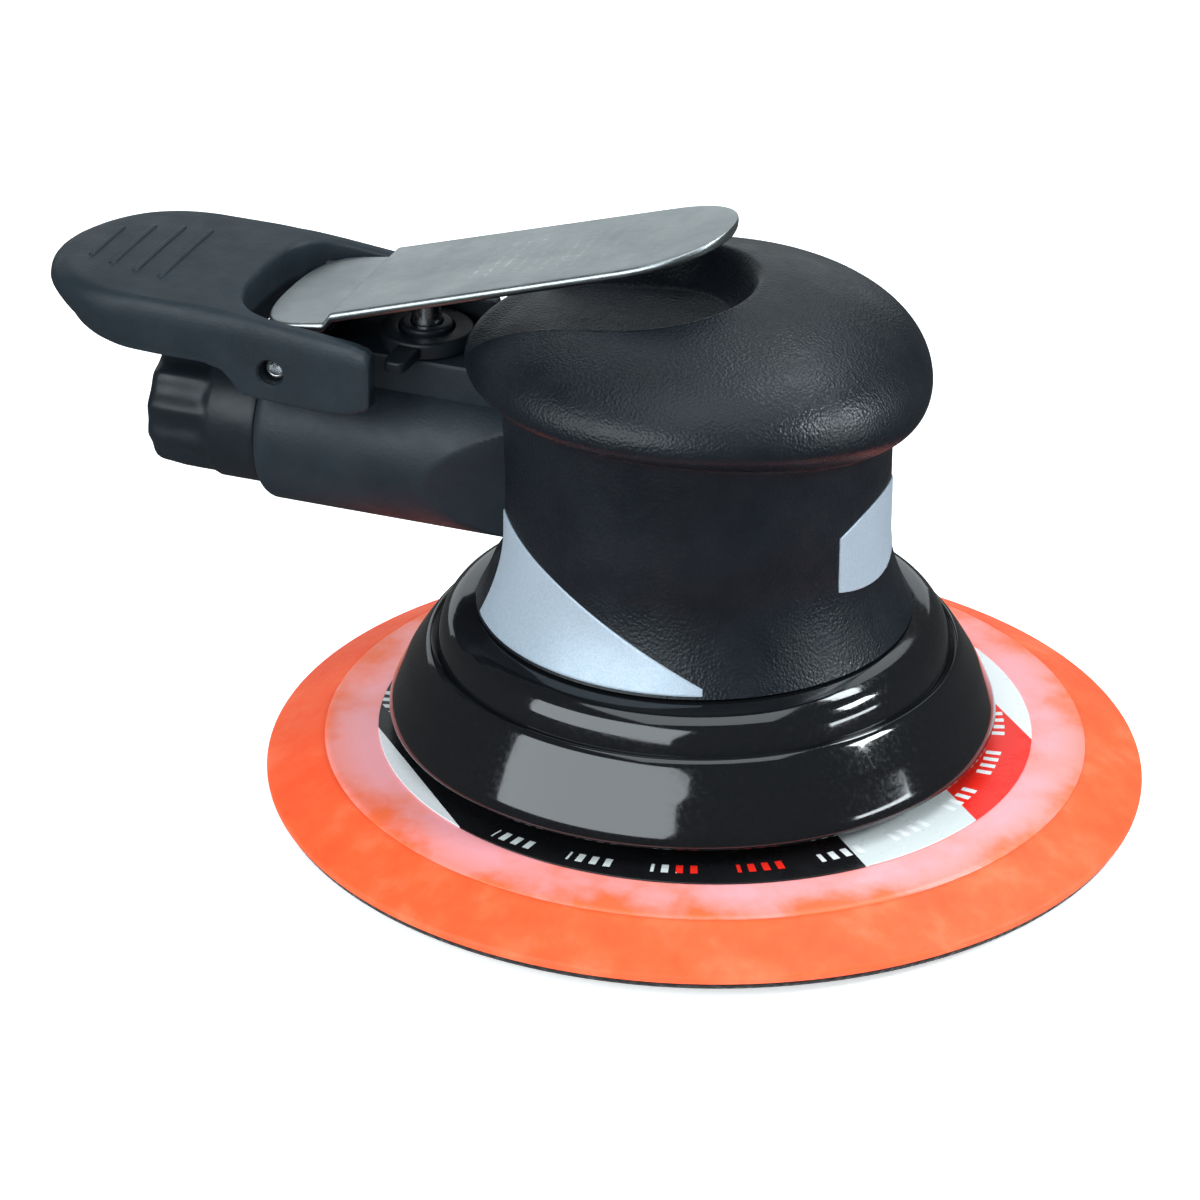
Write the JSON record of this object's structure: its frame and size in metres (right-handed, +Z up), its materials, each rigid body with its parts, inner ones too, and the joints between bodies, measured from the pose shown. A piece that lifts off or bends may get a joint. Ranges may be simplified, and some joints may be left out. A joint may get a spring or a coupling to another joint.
{
  "type": "orbital sander",
  "caption": "Palm-grip pneumatic random orbital sander with a round foam pad, throttle lever over the crown, forked wrist rest and side handle for the air hose.",
  "frame": {"origin": "on the motor axis, in the plane of the pad's working face", "axes": "+Z up along the motor axis, -X along the handle towards the hose, pad facing -Z"},
  "size_m": [0.1966, 0.1518, 0.1046],
  "materials": {
    "soft_black": "fine textured rubber",
    "slate_plastic": "fine matte composite",
    "gloss_black": "polished rubberised shroud",
    "satin_steel": "satin stainless sheet",
    "bright_steel": "ground steel",
    "alloy": "machined",
    "silver_inlay": "pale metallic paint",
    "orange_foam": "matte urethane foam",
    "pink_skin": "moulded glossy skin",
    "hook_black": "short hook pile",
    "label_print": "printed film",
    "brass": "turned",
    "felt_grey": "pressed felt",
    "seal_rubber": "smooth",
    "vane_resin": "phenolic resin",
    "cage_resin": "moulded"
  },
  "bodies": {
    "housing_body": {"housing": "slate_plastic", "palm_grip": "soft_black", "skirt": "gloss_black", "wrist_rest": "slate_plastic", "lever_pin": "bright_steel", "inlet_bushing": "bright_steel", "muffler_cap": "soft_black", "muffler_felt": "felt_grey", "valve_seat": "seal_rubber", "plunger_bushing": "brass", "motor_lock_ring": "alloy", "front_endplate": "alloy", "rear_endplate": "alloy", "cylinder": "bright_steel", "cylinder_pin": "bright_steel", "front_bearing_outer_ring": "bright_steel", "rear_bearing_outer_ring": "bright_steel", "left_swoosh": "silver_inlay", "right_swoosh": "silver_inlay", "front_badge": "silver_inlay"},
    "lever": {"throttle_lever": "satin_steel"},
    "plunger": {"valve_plunger": "bright_steel", "plunger_o_ring": "seal_rubber"},
    "tip": {"tip_valve": "brass", "valve_spring": "bright_steel"},
    "regulator": {"speed_regulator": "soft_black", "regulator_o_ring": "seal_rubber"},
    "rotor_body": {"rotor": "alloy", "rotor_key": "bright_steel", "balancer_shaft": "alloy", "front_bearing_inner_ring": "bright_steel", "rear_bearing_inner_ring": "bright_steel", "spindle_bearing_outer_ring": "bright_steel", "spindle_retaining_ring": "bright_steel"},
    "front_cage": {"front_bearing_ball_cage": "cage_resin"},
    "rear_cage": {"rear_bearing_ball_cage": "cage_resin"},
    "spindle_cage": {"spindle_bearing_ball_cage": "cage_resin"},
    "vane_a": {"vane_1": "vane_resin"},
    "vane_b": {"vane_2": "vane_resin"},
    "vane_c": {"vane_3": "vane_resin"},
    "vane_d": {"vane_4": "vane_resin"},
    "vane_e": {"vane_5": "vane_resin"},
    "pad": {"spindle": "bright_steel", "spindle_bearing_inner_ring": "bright_steel", "dust_shield": "bright_steel", "pad_washer": "felt_grey", "pad_stud": "bright_steel", "pad_backing_plate": "pink_skin", "pad_foam": "orange_foam", "pad_hook_face": "hook_black", "pad_label": "label_print"}
  },
  "joints": [
    {"name": "lever_pivot", "type": "hinge", "parent": "housing_body", "child": "lever", "pos_m": [-0.07, 0, 0.0733], "axis": [0, 1, 0], "range_deg": [0, 7], "stiffness_Nm_per_rad": 0.15, "springref_deg": -20.05},
    {"name": "plunger_slide", "type": "slide", "parent": "housing_body", "child": "plunger", "axis": [0, 0, 1], "range_m": [-0.0028, 0]},
    {"name": "tip_valve_tilt", "type": "hinge", "parent": "housing_body", "child": "tip", "pos_m": [-0.0614, 0, 0.0607], "axis": [0, 1, 0], "range_deg": [0, 16.5]},
    {"name": "regulator_turn", "type": "hinge", "parent": "housing_body", "child": "regulator", "pos_m": [-0.0495, 0, 0.075], "axis": [0, 0, 1], "range_deg": [-80, 0]},
    {"name": "rotor_spin", "type": "hinge", "parent": "housing_body", "child": "rotor_body", "pos_m": [0, 0, 0.058], "axis": [0, 0, 1], "continuous": true},
    {"name": "pad_spin", "type": "hinge", "parent": "rotor_body", "child": "pad", "pos_m": [0.00238, 0, 0.023], "axis": [0, 0, 1], "continuous": true},
    {"name": "front_cage_spin", "type": "hinge", "parent": "housing_body", "child": "front_cage", "pos_m": [0, 0, 0.0422], "axis": [0, 0, 1], "continuous": true},
    {"name": "rear_cage_spin", "type": "hinge", "parent": "housing_body", "child": "rear_cage", "pos_m": [0, 0, 0.0729], "axis": [0, 0, 1], "continuous": true},
    {"name": "spindle_cage_spin", "type": "hinge", "parent": "rotor_body", "child": "spindle_cage", "pos_m": [0.00238, 0, 0.023], "axis": [0, 0, 1], "continuous": true},
    {"name": "vane_1_slide", "type": "slide", "parent": "rotor_body", "child": "vane_a", "axis": [0.809, 0.5878, 0], "range_m": [0, 0.0011]},
    {"name": "vane_2_slide", "type": "slide", "parent": "rotor_body", "child": "vane_b", "axis": [-0.309, 0.9511, 0], "range_m": [0, 0.0011]},
    {"name": "vane_3_slide", "type": "slide", "parent": "rotor_body", "child": "vane_c", "axis": [-1, 0, 0], "range_m": [0, 0.0011]},
    {"name": "vane_4_slide", "type": "slide", "parent": "rotor_body", "child": "vane_d", "axis": [-0.309, -0.9511, 0], "range_m": [0, 0.0011]},
    {"name": "vane_5_slide", "type": "slide", "parent": "rotor_body", "child": "vane_e", "axis": [0.809, -0.5878, 0], "range_m": [0, 0.0011]}
  ],
  "couplings": [
    {"joint": "plunger_slide", "follows": "lever_pivot", "m_per_rad": -0.0221},
    {"joint": "tip_valve_tilt", "follows": "lever_pivot", "ratio": 2.29},
    {"joint": "front_cage_spin", "follows": "rotor_spin", "ratio": 0.4},
    {"joint": "rear_cage_spin", "follows": "rotor_spin", "ratio": 0.4},
    {"joint": "spindle_cage_spin", "follows": "pad_spin", "ratio": 0.4}
  ]
}
